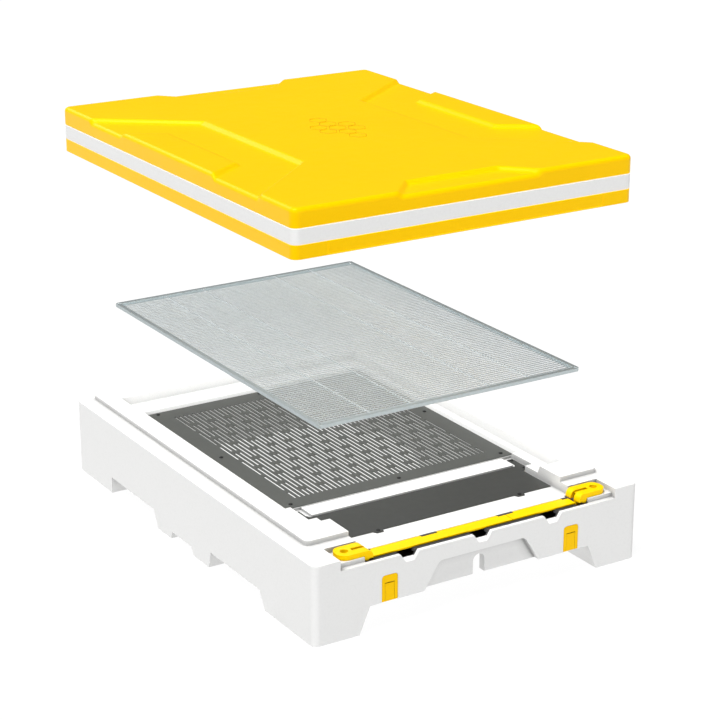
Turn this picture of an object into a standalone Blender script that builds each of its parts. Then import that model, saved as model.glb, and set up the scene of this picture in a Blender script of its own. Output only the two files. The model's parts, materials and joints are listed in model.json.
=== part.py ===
"""Moulded-foam beehive: base with vent floor and entrance gates, queen excluder, and roof.

Metres, +Z up. The origin is at the middle of the base's footprint, on the ground. The entrance
faces -Y. The three main parts are held apart above each other, and slide down to close.
"""

import math

import bmesh
import bpy
from mathutils import Matrix, Vector

MM = 0.001
GAP = 0.3 * MM
JOINT_PLAY = 0.4 * MM

# Base
BASE_HALF_X = 254 * MM
BASE_HALF_Y = 345 * MM
BASE_CORNER_R = 10 * MM
RIM_Z = 109 * MM
LIP_Z = 115.5 * MM
LIP_HALF_X = 229.5 * MM
LIP_Y = (-286 * MM, 338 * MM)
RECESS_HALF_X = 202 * MM
RECESS_Y = (-240 * MM, 299 * MM)
RECESS_Z = 104.5 * MM
RECESS_DRAFT = 4 * MM
LIP_CORNER_R = 6 * MM
FLOOR_OPENING_HALF_X = 160 * MM
FLOOR_OPENING_Y = (-135 * MM, 235 * MM)
FRONT_HOLLOW_HALF_X = 95 * MM
FRONT_HOLLOW_Y = (-325 * MM, -130 * MM)
FRONT_HOLLOW_TOP_Z = 66 * MM
UNDERSIDE_Z = 36.5 * MM
FOOT_INNER_X = 187 * MM
FOOT_SLOPE = 15.5 * MM
# The gaps between the feet of each side: Y at the ground and at the top of the back and the front
# end of the gap, as (back foot, back top, front top, front foot), and the height of the gap.
FOOT_GAPS = (
    (232 * MM, 231 * MM, 95 * MM, 83.5 * MM, 24.5 * MM),
    (43 * MM, 39 * MM, -18 * MM, -24 * MM, 11 * MM),
    (-68 * MM, -75 * MM, -208 * MM, -222 * MM, 24 * MM),
)
HOLD_BOTTOM_HALF = 93 * MM
HOLD_TOP_HALF = 67 * MM
HOLD_TOP_Z = 73.5 * MM
HOLD_CORNER_R = 10 * MM
HOLD_BACK_Y = -336 * MM
HOLD_SLOT_HALF = 9 * MM
HOLD_SLOT_CENTRE_Z = 54.5 * MM
HOLD_SLOT_BACK_Y = -324 * MM

# Vent grille and its slots
GRILLE_HALF_X = 183 * MM
GRILLE_Y = (-156 * MM, 251 * MM)
GRILLE_TOP_Z = 101 * MM
PLATE_THICK = 1 * MM
SLOT_COLUMNS = 44
SLOT_COLUMN_PITCH = 7.1 * MM
SLOT_WIDTH = 3 * MM
SLOT_PITCH = 63.8 * MM
SLOT_BRIDGE = 9 * MM
FIRST_BRIDGE = 38 * MM
SLOT_FIELD_Y = (-129 * MM, 222 * MM)
REBATE_CLEARANCE = 1.5 * MM
REBATE_DRAFT = 2.5 * MM

# Passage, front plate and the land between the plate and the grille
PASSAGE_HALF_X = 167 * MM
PASSAGE_Z = 96 * MM
PASSAGE_BACK_Y = -206 * MM
EAR_HALF_X = 177 * MM
EAR_INNER_X = 168 * MM
EAR_BACK_Y = -163 * MM
PLATE_HALF_X = 165 * MM
PLATE_TOP_Z = 97.3 * MM
PLATE_FRONT_Y = -269 * MM
PLATE_TAB_X = 112 * MM
PLATE_TAB_HALF = (8 * MM, 5 * MM)
PLATE_TAB_FRONT_Y = -275 * MM
LAND_HALF_X = 162 * MM
LAND_Y = (-187 * MM, -158 * MM)
LAND_Z = 99.5 * MM

# Screws
SCREW_SHANK_R = 1.2 * MM
SCREW_HEAD_R = 2.9 * MM
SCREW_HEAD_TOP_R = 1.8 * MM
SCREW_HEAD_RIM = 0.5 * MM
SCREW_HEAD_HEIGHT = 1.1 * MM
SCREW_LENGTH = 9 * MM
SCREW_CLEARANCE = 0.4 * MM
GRILLE_SCREW_X = 170 * MM
GRILLE_SCREW_Y = (-145 * MM, 48 * MM, 243 * MM)
EAR_SCREW_X = 172.5 * MM
EAR_SCREW_Y = (-168 * MM, -198 * MM)
TAB_SCREW_Y = -269.5 * MM

# Entrance trough, gates and their hinge line
TROUGH_HALF_X = 175 * MM
TROUGH_Y = (-339.5 * MM, -308.2 * MM)
TROUGH_Z = 79.7 * MM
FRONT_LIP_Z = 95.5 * MM
NOTCH_X = (-112 * MM, 0.0, 112 * MM)
NOTCH_TOP_HALF = 14 * MM
NOTCH_BOTTOM_HALF = 6.5 * MM
NOTCH_BOTTOM_Z = 84 * MM
NOTCH_SILL_Z = 88.5 * MM
GATE_TOP_Z = 96.5 * MM
GATE_THICK = 2.2 * MM
GATE_FRONT_Y = -330.5 * MM
GATE_HALF_X = 159.5 * MM
GATE_SEAM_X = 57 * MM
GATE_AXIS_Y = -311 * MM
GATE_AXIS_Z = 94.1 * MM
GATE_BARREL_R = 2.4 * MM
GATE_PIN_R = 0.9 * MM
GATE_BORE_R = 1.25 * MM
LUG_R = 2.2 * MM
LUG_CLEARANCE = 0.7 * MM
LUG_HALF_X = 12 * MM
LUG_X = (-62 * MM, 58 * MM)
END_LUG_X = (151 * MM, GATE_HALF_X)
TRAY_FLOOR = 3 * MM
TRAY_FRONT = 2.6 * MM
TRAY_BACK = 1.8 * MM
TRAY_BACK_TOP_Z = 91.3 * MM
LEDGE_BOTTOM_Z = 91 * MM

# Levers
LEVER_Y = (-336 * MM, -306.5 * MM)
LEVER_TIP_X = 208.5 * MM
LEVER_TOP_Z = 108.5 * MM
LEVER_BOTTOM_Z = 101.8 * MM
LEVER_AXIS_X = 170 * MM
LEVER_AXIS_Z = 99.5 * MM
LEVER_CURL_R = 9 * MM
LEVER_BOSS_R = 4.2 * MM
LEVER_HOLE_X = 195.5 * MM
LEVER_HOLE_R = 5.5 * MM
LEVER_PIN_R = 1.6 * MM
LEVER_PLAN_R = 13 * MM
LEVER_GROOVE_HALF_Y = 3 * MM
LEVER_GROOVE_DEPTH = 2.5 * MM
BRACKET_HALF_Y = 3 * MM
BRACKET_HALF_X = 4 * MM
POCKET_TIP_X = 214.5 * MM
POCKET_Y = (-337.5 * MM, -303.5 * MM)
POCKET_Z = 101.5 * MM

# Clips on the front face
CLIP_X = (130.5 * MM, 154 * MM)
CLIP_Z = (37 * MM, 73 * MM)
CLIP_TAB_INSET = 5 * MM
CLIP_TAB_TOP_Z = 61.6 * MM
CLIP_AXIS_Y = -343 * MM
CLIP_AXIS_Z = 60.3 * MM
CLIP_CORNER_R = 4.2 * MM
CLIP_THICK = 5.7 * MM
CLIP_WINDOW_DEPTH = 4.8 * MM
CLIP_TAB_DEPTH = (0.2 * MM, 3.7 * MM)
CLIP_TAB_SWING = 1.2 * MM
CLIP_PIN_R = 0.75 * MM
CLIP_BORE_R = 1.1 * MM
CLIP_SEAT_BACK_Y = -339 * MM

# Excluder
EXCLUDER_HALF_X = 202.5 * MM
EXCLUDER_Y = (-275 * MM, 307 * MM)
EXCLUDER_Z = (257 * MM, 262 * MM)
RAIL_WIDTH = 6.5 * MM
RAIL_CHAMFER = 3 * MM
RAIL_SKIN = 0.8 * MM
WIRE_PITCH = 6.3 * MM
WIRE_WIDTH = 2.2 * MM
WIRE_Z = (258.2 * MM, 260.4 * MM)
CROSS_ROD_X = (-124 * MM, -61.5 * MM, 61.5 * MM, 124 * MM)
CROSS_ROD_HALF = 0.9 * MM
CROSS_ROD_HEIGHT = 1.2 * MM

# Roof
ROOF_HALF_X = 254 * MM
ROOF_Y = (-305 * MM, 345 * MM)
ROOF_CORNER_R = 10 * MM
SKIRT_Z = (490 * MM, 507.5 * MM)
BAND_TOP_Z = 528 * MM
CAP_LOW_Z = 548 * MM
CAP_TOP_Z = 553 * MM
CAP_WALL = 3 * MM
CAP_EDGE_R = 6 * MM
CAVITY_HALF_X = 230.5 * MM
CAVITY_Y = (-288.5 * MM, 339.5 * MM)
CAVITY_TOP_Z = 512 * MM
CAVITY_CORNER_R = 6 * MM
RELIEF_SLOPE = 7 * MM
PANEL_HALF_X = 206 * MM
PANEL_SILL = 1.2 * MM

FAR = 1.0


def start_scene():
    """Empty the scene and make one collection for the parts and one for the cutters."""
    for old in list(bpy.data.objects):
        bpy.data.objects.remove(old, do_unlink=True)
    made = []
    for name in ("beehive", "cutters"):
        collection = bpy.data.collections.new(name)
        bpy.context.scene.collection.children.link(collection)
        made.append(collection)
    return made


PARTS, CUTTERS = start_scene()


def material(name, colour, roughness, metallic=0.0):
    made = bpy.data.materials.new(name)
    made.use_nodes = True
    shader = made.node_tree.nodes["Principled BSDF"]
    shader.inputs["Base Color"].default_value = (*colour, 1.0)
    shader.inputs["Roughness"].default_value = roughness
    shader.inputs["Metallic"].default_value = metallic
    return made


FOAM = material("white_foam", (0.90, 0.90, 0.89), 0.55)
YELLOW = material("yellow_plastic", (1.0, 0.72, 0.0), 0.40)
DARK = material("dark_plastic", (0.10, 0.10, 0.095), 0.50)
BLACK = material("black_plastic", (0.04, 0.042, 0.05), 0.40)
SCREW = material("black_screw", (0.03, 0.03, 0.032), 0.45)
STEEL = material("galvanised_steel", (0.45, 0.49, 0.50), 0.35, 1.0)


# ---------------------------------------------------------------- shape tools


def add_mesh(name, mesh, collection):
    made = bpy.data.objects.new(name, mesh)
    collection.objects.link(made)
    return made


def as_part(made, name, surface, origin=None):
    """Make an object a named part with its material, and put its origin on its joint axis."""
    made.name = name
    made.data.name = name
    for collection in list(made.users_collection):
        collection.objects.unlink(made)
    PARTS.objects.link(made)
    made.data.materials.clear()
    made.data.materials.append(surface)
    if origin is not None:
        made.data.transform(Matrix.Translation(-Vector(origin)))
        made.location = origin
    return made


def as_cutter(made):
    made.hide_render = True
    made.display_type = "WIRE"
    for collection in list(made.users_collection):
        collection.objects.unlink(made)
    CUTTERS.objects.link(made)
    return made


def combine(target, other, operation):
    step = target.modifiers.new(operation.lower(), "BOOLEAN")
    step.operation = operation
    step.solver = "EXACT"
    step.object = as_cutter(other)


def cut(target, *others):
    for other in others:
        combine(target, other, "DIFFERENCE")


def join(target, *others):
    for other in others:
        combine(target, other, "UNION")


def keep(target, other):
    combine(target, other, "INTERSECT")


def box(x, y, z):
    """A box between two limits on each axis."""
    shape = bmesh.new()
    bmesh.ops.create_cube(shape, size=1.0)
    size = Vector((x[1] - x[0], y[1] - y[0], z[1] - z[0]))
    centre = Vector((x[0] + x[1], y[0] + y[1], z[0] + z[1])) / 2
    bmesh.ops.scale(shape, vec=size, verts=shape.verts)
    bmesh.ops.translate(shape, vec=centre, verts=shape.verts)
    mesh = bpy.data.meshes.new("box")
    shape.to_mesh(mesh)
    shape.free()
    return add_mesh("box", mesh, PARTS)


def rod(start, end, radius, sides=16):
    """A cylinder between two points."""
    start, end = Vector(start), Vector(end)
    shape = bmesh.new()
    bmesh.ops.create_cone(
        shape, cap_ends=True, segments=sides, radius1=radius, radius2=radius, depth=(end - start).length
    )
    turn = (end - start).to_track_quat("Z", "Y").to_matrix().to_4x4()
    bmesh.ops.transform(shape, matrix=Matrix.Translation((start + end) / 2) @ turn, verts=shape.verts)
    mesh = bpy.data.meshes.new("rod")
    shape.to_mesh(mesh)
    shape.free()
    mesh.shade_smooth()
    mesh.set_sharp_from_angle(angle=math.radians(40))
    return add_mesh("rod", mesh, PARTS)


def rounded(corners, steps=4):
    """The points of an outline whose corners are (u, v) or (u, v, radius)."""
    points = []
    for index, corner in enumerate(corners):
        here = Vector(corner[:2])
        radius = corner[2] if len(corner) > 2 else 0.0
        if radius == 0.0:
            points.append(here)
            continue
        to_before = (Vector(corners[index - 1][:2]) - here).normalized()
        to_after = (Vector(corners[(index + 1) % len(corners)][:2]) - here).normalized()
        half_angle = to_before.angle(to_after) / 2
        centre = here + (to_before + to_after).normalized() * radius / math.sin(half_angle)
        first = here + to_before * radius / math.tan(half_angle) - centre
        sweep = first.angle_signed(here + to_after * radius / math.tan(half_angle) - centre)
        for step in range(steps + 1):
            turn = Matrix.Rotation(-sweep * step / steps, 2)
            points.append(centre + turn @ first)
    return points


def rectangle(u, v, radius=0.0):
    return [(u[0], v[0], radius), (u[1], v[0], radius), (u[1], v[1], radius), (u[0], v[1], radius)]


def arc(centre, radius, start, end, steps):
    """Points on a circle from one angle to another, in degrees."""
    points = []
    for step in range(steps + 1):
        angle = math.radians(start + (end - start) * step / steps)
        points.append((centre[0] + radius * math.cos(angle), centre[1] + radius * math.sin(angle)))
    return points


# How an outline's own (u, v, depth) directions lie in the world.
ALONG_Z = Matrix.Identity(4)
ALONG_Y = Matrix(((1, 0, 0, 0), (0, 0, -1, 0), (0, 1, 0, 0), (0, 0, 0, 1)))
ALONG_X = Matrix(((0, 0, 1, 0), (1, 0, 0, 0), (0, 1, 0, 0), (0, 0, 0, 1)))


def plate(outlines, low, high, lie=ALONG_Z):
    """A flat outline with any holes, filled and given its thickness from low to high."""
    curve = bpy.data.curves.new("outline", "CURVE")
    curve.dimensions = "2D"
    curve.fill_mode = "BOTH"
    curve.extrude = (high - low) / 2
    for outline in outlines:
        spline = curve.splines.new("POLY")
        spline.points.add(len(outline) - 1)
        for point, place in zip(spline.points, outline):
            point.co = (place[0], place[1], 0.0, 1.0)
        spline.use_cyclic_u = True
    guide = bpy.data.objects.new("outline", curve)
    CUTTERS.objects.link(guide)
    depth = (low + high) / 2
    if lie == ALONG_Y:
        depth = -depth
    guide.matrix_world = lie @ Matrix.Translation((0, 0, depth))
    bpy.context.view_layer.update()
    evaluated = guide.evaluated_get(bpy.context.evaluated_depsgraph_get())
    mesh = bpy.data.meshes.new_from_object(evaluated)
    mesh.transform(guide.matrix_world)
    bpy.data.objects.remove(guide, do_unlink=True)
    shape = bmesh.new()
    shape.from_mesh(mesh)
    bmesh.ops.remove_doubles(shape, verts=shape.verts, dist=0.00001)
    bmesh.ops.recalc_face_normals(shape, faces=shape.faces)
    shape.to_mesh(mesh)
    shape.free()
    return add_mesh("plate", mesh, PARTS)


def loft(levels):
    """A closed solid through outlines of equal length, each given as (points, z)."""
    shape = bmesh.new()
    rings = [[shape.verts.new((p[0], p[1], z)) for p in points] for points, z in levels]
    count = len(rings[0])
    for lower, upper in zip(rings, rings[1:]):
        for index in range(count):
            after = (index + 1) % count
            shape.faces.new((lower[index], lower[after], upper[after], upper[index]))
    shape.faces.new(list(reversed(rings[0])))
    shape.faces.new(rings[-1])
    bmesh.ops.recalc_face_normals(shape, faces=shape.faces)
    mesh = bpy.data.meshes.new("loft")
    shape.to_mesh(mesh)
    shape.free()
    return add_mesh("loft", mesh, PARTS)


def widened(points, distance):
    """An outline that runs anticlockwise, moved outwards by a distance."""
    made = []
    for index, here in enumerate(points):
        before = (Vector(here) - Vector(points[index - 1])).normalized()
        after = (Vector(points[(index + 1) % len(points)]) - Vector(here)).normalized()
        side = Vector((before.y, -before.x)) + Vector((after.y, -after.x))
        side.normalize()
        made.append(Vector(here) + side * distance / side.dot(Vector((before.y, -before.x))))
    return made


def drafted(points, low, high, draft):
    """A prism whose walls lean outwards by draft between low and high, and go straight up above."""
    wide = widened(points, draft)
    return loft([(points, low), (wide, high), (wide, high + 0.05)])


def mirrored(points):
    """An outline mirrored in X, and still anticlockwise."""
    return [(-p[0], p[1]) for p in reversed(points)]


def mirror_x(limits, side):
    """Limits on the +X side, moved to the side given as +1 or -1."""
    low, high = limits
    return (low, high) if side > 0 else (-high, -low)


# ---------------------------------------------------------------- base


def base_blank():
    """The outer block with the raised lip that locates the box or the roof."""
    outer = rounded(rectangle((-BASE_HALF_X, BASE_HALF_X), (-BASE_HALF_Y, BASE_HALF_Y), BASE_CORNER_R))
    blank = plate([outer], 0, RIM_Z)
    lip = rounded(rectangle((-LIP_HALF_X, LIP_HALF_X), LIP_Y, LIP_CORNER_R), 2)
    join(blank, plate([lip], RIM_Z - 10 * MM, LIP_Z))
    return blank


def cut_underside(body):
    """The channel between the left and right feet, and the gaps between the feet of each side."""
    slope_top = FOOT_INNER_X - FOOT_SLOPE
    channel = [
        (-FOOT_INNER_X - 0.5 * MM, -1 * MM),
        (FOOT_INNER_X + 0.5 * MM, -1 * MM),
        (slope_top, UNDERSIDE_Z),
        (-slope_top, UNDERSIDE_Z),
    ]
    cut(body, plate([channel], -FAR, FAR, ALONG_Y))
    for back_foot, back_top, front_top, front_foot, height in FOOT_GAPS:
        outline = [(front_foot, -1 * MM), (back_foot, -1 * MM), (back_top, height), (front_top, height)]
        cut(body, plate([outline], -FAR, FAR, ALONG_X))


def cut_floor(body):
    """The recess inside the lip, the vent opening, and the hollow behind the front wall."""
    inner = RECESS_HALF_X - RECESS_DRAFT
    recess = [
        (-inner, RECESS_Y[0] + RECESS_DRAFT),
        (inner, RECESS_Y[0] + RECESS_DRAFT),
        (inner, RECESS_Y[1] - RECESS_DRAFT),
        (-inner, RECESS_Y[1] - RECESS_DRAFT),
    ]
    cut(body, drafted(recess, RECESS_Z, LIP_Z, RECESS_DRAFT))
    rebate_x = GRILLE_HALF_X + REBATE_CLEARANCE
    rebate_y = (GRILLE_Y[0] - REBATE_CLEARANCE, GRILLE_Y[1] + REBATE_CLEARANCE)
    rebate = [
        (-rebate_x, rebate_y[0]),
        (rebate_x, rebate_y[0]),
        (rebate_x, rebate_y[1]),
        (-rebate_x, rebate_y[1]),
    ]
    cut(body, drafted(rebate, GRILLE_TOP_Z - PLATE_THICK - GAP, RECESS_Z, REBATE_DRAFT))
    opening_x = (-FLOOR_OPENING_HALF_X, FLOOR_OPENING_HALF_X)
    cut(body, box(opening_x, FLOOR_OPENING_Y, (-FAR, FAR)))
    hollow_x = (-FRONT_HOLLOW_HALF_X, FRONT_HOLLOW_HALF_X)
    cut(body, box(hollow_x, FRONT_HOLLOW_Y, (-FAR, FRONT_HOLLOW_TOP_Z)))


def cut_passage(body):
    """The low way from the vent floor to the entrance, with a raised land across its back."""
    half = PASSAGE_HALF_X
    wide = EAR_HALF_X + 2 * MM
    cut(body, box((-half, half), (TROUGH_Y[1] - 5 * MM, PASSAGE_BACK_Y), (PASSAGE_Z, FAR)))
    back = (PASSAGE_BACK_Y - 1 * MM, GRILLE_Y[0] - 1 * MM)
    cut(body, box((-wide, wide), back, (PASSAGE_Z, FAR)))
    land_x = (-LAND_HALF_X, LAND_HALF_X)
    join(body, box(land_x, LAND_Y, (PASSAGE_Z - 5 * MM, LAND_Z)))


def notch_outline(centre):
    """The tapered notch of the entrance, open at its top."""
    rise = FRONT_LIP_Z - NOTCH_BOTTOM_Z
    lean = (NOTCH_TOP_HALF - NOTCH_BOTTOM_HALF) / rise
    above = 5 * MM
    top = NOTCH_TOP_HALF + lean * above
    return [
        (centre - NOTCH_BOTTOM_HALF, NOTCH_BOTTOM_Z),
        (centre + NOTCH_BOTTOM_HALF, NOTCH_BOTTOM_Z),
        (centre + top, FRONT_LIP_Z + above),
        (centre - top, FRONT_LIP_Z + above),
    ]


def cut_entrance(body):
    """The trough with its wider ends, the lever pockets and the three notches with their ramps."""
    cut(body, box((-TROUGH_HALF_X, TROUGH_HALF_X), TROUGH_Y, (TROUGH_Z, FAR)))
    ends = (GATE_HALF_X + 0.5 * MM, TROUGH_HALF_X)
    for side in (-1, 1):
        deep = (TROUGH_Y[1] - 2 * MM, POCKET_Y[1])
        cut(body, box(mirror_x(ends, side), deep, (TROUGH_Z, FAR)))
        pocket_x = (TROUGH_HALF_X - 1 * MM, POCKET_TIP_X)
        cut(body, box(mirror_x(pocket_x, side), POCKET_Y, (POCKET_Z, FAR)))
    front = (-FAR, POCKET_Y[0] + 0.1 * MM)
    cut(body, box((-POCKET_TIP_X, POCKET_TIP_X), front, (FRONT_LIP_Z, FAR)))
    ramp = [
        (-BASE_HALF_Y, NOTCH_BOTTOM_Z - 1 * MM),
        (TROUGH_Y[0], NOTCH_BOTTOM_Z - 1 * MM),
        (TROUGH_Y[0], NOTCH_SILL_Z),
        (-BASE_HALF_Y, NOTCH_BOTTOM_Z),
    ]
    for centre in NOTCH_X:
        outline = notch_outline(centre)
        cut(body, plate([outline], -FAR, TROUGH_Y[0] + 1 * MM, ALONG_Y))
        half = NOTCH_BOTTOM_HALF + 3 * MM
        join(body, plate([ramp], centre - half, centre + half, ALONG_X))


def cut_front_face(body):
    """The hand-hold with its slot, and the seats of the two clips."""
    low = UNDERSIDE_Z - 5 * MM
    corners = [
        (-HOLD_BOTTOM_HALF, low),
        (HOLD_BOTTOM_HALF, low),
        (HOLD_TOP_HALF, HOLD_TOP_Z, HOLD_CORNER_R),
        (-HOLD_TOP_HALF, HOLD_TOP_Z, HOLD_CORNER_R),
    ]
    cut(body, plate([rounded(corners, 3)], -FAR, HOLD_BACK_Y, ALONG_Y))
    half = HOLD_SLOT_HALF
    slot = [(-half, low), (half, low)] + arc((0, HOLD_SLOT_CENTRE_Z), half, 0, 180, 8)
    cut(body, plate([slot], -FAR, HOLD_SLOT_BACK_Y, ALONG_Y))
    for side in (-1, 1):
        x = mirror_x((CLIP_X[0] - GAP, CLIP_X[1] + GAP), side)
        top = CLIP_Z[1] + GAP
        radius = CLIP_CORNER_R + GAP
        seat = rounded([(x[0], low), (x[1], low), (x[1], top, radius), (x[0], top, radius)], 3)
        cut(body, plate([seat], -FAR, CLIP_SEAT_BACK_Y, ALONG_Y))


def cut_screw_holes(body, places, top):
    for x, y in places:
        start = (x, y, top - SCREW_LENGTH - 1 * MM)
        end = (x, y, top + 5 * MM)
        cut(body, rod(start, end, SCREW_SHANK_R + SCREW_CLEARANCE, 8))


def grille_screw_places():
    """A screw at each corner, half way along each side, and at the middle of each end."""
    front, middle, back = GRILLE_SCREW_Y
    right = GRILLE_SCREW_X
    return [
        (-right, front),
        (0.0, front),
        (right, front),
        (-right, middle),
        (right, middle),
        (-right, back),
        (0.0, back),
        (right, back),
    ]


def plate_screw_places():
    ears = [(side * EAR_SCREW_X, y) for y in EAR_SCREW_Y for side in (-1, 1)]
    tabs = [(side * PLATE_TAB_X, TAB_SCREW_Y) for side in (-1, 1)]
    return ears + tabs


def make_base():
    body = base_blank()
    cut_underside(body)
    cut_floor(body)
    cut_passage(body)
    cut_entrance(body)
    cut_front_face(body)
    cut_screw_holes(body, grille_screw_places(), GRILLE_TOP_Z - PLATE_THICK)
    cut_screw_holes(body, plate_screw_places(), PASSAGE_Z)
    return as_part(body, "base_body", FOAM)


# ---------------------------------------------------------------- floor plates and screws


def circle(x, y, radius, sides=8):
    return arc((x, y), radius, 0, 360 * (sides - 1) / sides, sides - 1)


def slot_outlines():
    """The vent slots: two columns with their bridges in line, then two with them half way between."""
    outlines = []
    for column in range(SLOT_COLUMNS):
        x = (column - (SLOT_COLUMNS - 1) / 2) * SLOT_COLUMN_PITCH
        shift = 0.0 if (column + 1) // 2 % 2 else SLOT_PITCH / 2
        top = SLOT_FIELD_Y[1]
        bridge = top - FIRST_BRIDGE - shift
        while top > SLOT_FIELD_Y[0]:
            end = max(bridge + SLOT_BRIDGE / 2, SLOT_FIELD_Y[0])
            if top - end > SLOT_BRIDGE:
                outlines.append([
                    (x - SLOT_WIDTH / 2, end),
                    (x + SLOT_WIDTH / 2, end),
                    (x + SLOT_WIDTH / 2, top),
                    (x - SLOT_WIDTH / 2, top),
                ])
            top = min(bridge - SLOT_BRIDGE / 2, top)
            bridge -= SLOT_PITCH
    return outlines


def make_grille():
    outer = [(c[0], c[1]) for c in rectangle((-GRILLE_HALF_X, GRILLE_HALF_X), GRILLE_Y)]
    holes = [circle(x, y, SCREW_SHANK_R + SCREW_CLEARANCE) for x, y in grille_screw_places()]
    body = plate([outer] + slot_outlines() + holes, GRILLE_TOP_Z - PLATE_THICK, GRILLE_TOP_Z)
    return as_part(body, "vent_grille", DARK)


def make_front_plate():
    """The plate of the entrance passage, with a back ear at each side and two front tabs."""
    land_front = LAND_Y[0] - 0.5 * MM
    land_end = LAND_HALF_X + 2 * MM
    right = [
        (PLATE_TAB_X - PLATE_TAB_HALF[0], PLATE_FRONT_Y),
        (PLATE_TAB_X - PLATE_TAB_HALF[1], PLATE_TAB_FRONT_Y),
        (PLATE_TAB_X + PLATE_TAB_HALF[1], PLATE_TAB_FRONT_Y),
        (PLATE_TAB_X + PLATE_TAB_HALF[0], PLATE_FRONT_Y),
        (PLATE_HALF_X, PLATE_FRONT_Y),
        (PLATE_HALF_X, PASSAGE_BACK_Y + 1 * MM),
        (EAR_HALF_X, PASSAGE_BACK_Y + 3 * MM),
        (EAR_HALF_X, EAR_BACK_Y),
        (EAR_INNER_X, EAR_BACK_Y),
        (EAR_INNER_X, EAR_BACK_Y - 18 * MM),
        (land_end, land_front),
    ]
    outline = right + [(-u, v) for u, v in reversed(right)]
    holes = [circle(x, y, SCREW_SHANK_R + SCREW_CLEARANCE) for x, y in plate_screw_places()]
    body = plate([outline] + holes, PLATE_TOP_Z - PLATE_THICK, PLATE_TOP_Z)
    return as_part(body, "front_plate", DARK)


def screw_mesh():
    """A pan-head screw with its origin under its head, turned from its half profile."""
    profile = [
        (0, SCREW_HEAD_HEIGHT),
        (SCREW_HEAD_TOP_R, SCREW_HEAD_HEIGHT),
        (SCREW_HEAD_R, SCREW_HEAD_RIM),
        (SCREW_HEAD_R, 0),
        (SCREW_SHANK_R, 0),
        (SCREW_SHANK_R, 1 * MM - SCREW_LENGTH),
        (0, -SCREW_LENGTH),
    ]
    shape = bmesh.new()
    points = [shape.verts.new((x, 0, z)) for x, z in profile]
    for first, second in zip(points, points[1:]):
        shape.edges.new((first, second))
    mesh = bpy.data.meshes.new("screw")
    shape.to_mesh(mesh)
    shape.free()
    return mesh


def make_screw(name, mesh, place):
    made = as_part(add_mesh(name, mesh, PARTS), name, SCREW)
    made.location = place
    turn = made.modifiers.new("turn", "SCREW")
    turn.steps = 10
    turn.render_steps = 10
    turn.use_merge_vertices = True
    turn.merge_threshold = 0.00001
    turn.use_smooth_shade = True


def make_screws():
    mesh = screw_mesh()
    for index, (x, y) in enumerate(grille_screw_places()):
        make_screw(f"grille_screw_{index + 1}", mesh, (x, y, GRILLE_TOP_Z + GAP))
    for index, (x, y) in enumerate(plate_screw_places()):
        make_screw(f"plate_screw_{index + 1}", mesh, (x, y, PLATE_TOP_Z + GAP))


# ---------------------------------------------------------------- entrance


def gate_pin(name, x):
    start = (x[0], GATE_AXIS_Y, GATE_AXIS_Z)
    end = (x[1], GATE_AXIS_Y, GATE_AXIS_Z)
    return as_part(rod(start, end, GATE_PIN_R, 8), name, STEEL)


def gate_bore(x):
    start = (x[0] - 5 * MM, GATE_AXIS_Y, GATE_AXIS_Z)
    end = (x[1] + 5 * MM, GATE_AXIS_Y, GATE_AXIS_Z)
    return rod(start, end, GATE_BORE_R, 8)


def lug_spans():
    """The stretches of the hinge line where the frame's lugs stand."""
    spans = [(centre - LUG_HALF_X, centre + LUG_HALF_X) for centre in LUG_X]
    return [mirror_x(END_LUG_X, -1)] + spans + [END_LUG_X]


def make_frame():
    """The dark tray of the trough: floor, front wall with a ledge, back wall and hinge lugs."""
    front = TROUGH_Y[0] + GAP
    back = TROUGH_Y[1] - GAP
    floor_z = TROUGH_Z + GAP
    full = (-TROUGH_HALF_X + GAP, TROUGH_HALF_X - GAP)
    inner = (-GATE_HALF_X, GATE_HALF_X)
    body = box(full, (front, back), (floor_z, floor_z + TRAY_FLOOR))
    join(body, box(full, (front, front + TRAY_FRONT), (floor_z, FRONT_LIP_Z - 0.2 * MM)))
    ledge_y = (front + 1 * MM, GATE_FRONT_Y + 2 * MM)
    join(body, box(inner, ledge_y, (LEDGE_BOTTOM_Z, GATE_TOP_Z - GATE_THICK - GAP)))
    join(body, box(inner, (back - TRAY_BACK, back), (floor_z, TRAY_BACK_TOP_Z)))
    for span in lug_spans():
        outline = [(GATE_AXIS_Y - LUG_R, floor_z), (back, floor_z), (back, GATE_AXIS_Z + LUG_R)]
        outline += arc((GATE_AXIS_Y, GATE_AXIS_Z), LUG_R, 90, 180, 4)
        join(body, plate([outline], span[0], span[1], ALONG_X))
    for centre in NOTCH_X:
        outline = notch_outline(centre)
        cut(body, plate([outline], -FAR, GATE_FRONT_Y + 3 * MM, ALONG_Y))
    cut(body, gate_bore(full))
    return as_part(body, "entrance_frame", BLACK)


def make_gate(name, x):
    """A flap with a round hinge barrel under its back edge, cut away where the lugs stand."""
    body = box(x, (GATE_FRONT_Y, GATE_AXIS_Y), (GATE_TOP_Z - GATE_THICK, GATE_TOP_Z))
    start = (x[0], GATE_AXIS_Y, GATE_AXIS_Z)
    end = (x[1], GATE_AXIS_Y, GATE_AXIS_Z)
    join(body, rod(start, end, GATE_BARREL_R, 16))
    for span in lug_spans():
        clear = (span[0] - JOINT_PLAY, span[1] + JOINT_PLAY)
        cut(body, box(clear, (GATE_AXIS_Y - LUG_R - LUG_CLEARANCE, FAR), (0, FAR)))
    cut(body, gate_bore(x))
    return as_part(body, name, YELLOW, (x[0], GATE_AXIS_Y, GATE_AXIS_Z))


def make_gates():
    left = (-GATE_HALF_X, GATE_SEAM_X - GAP)
    right = (GATE_SEAM_X + GAP, GATE_HALF_X)
    make_gate("left_gate", left)
    make_gate("right_gate", right)
    gate_pin("left_gate_pin", (left[0] + 1 * MM, left[1]))
    gate_pin("right_gate_pin", (right[0], right[1] - 1 * MM))


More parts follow.
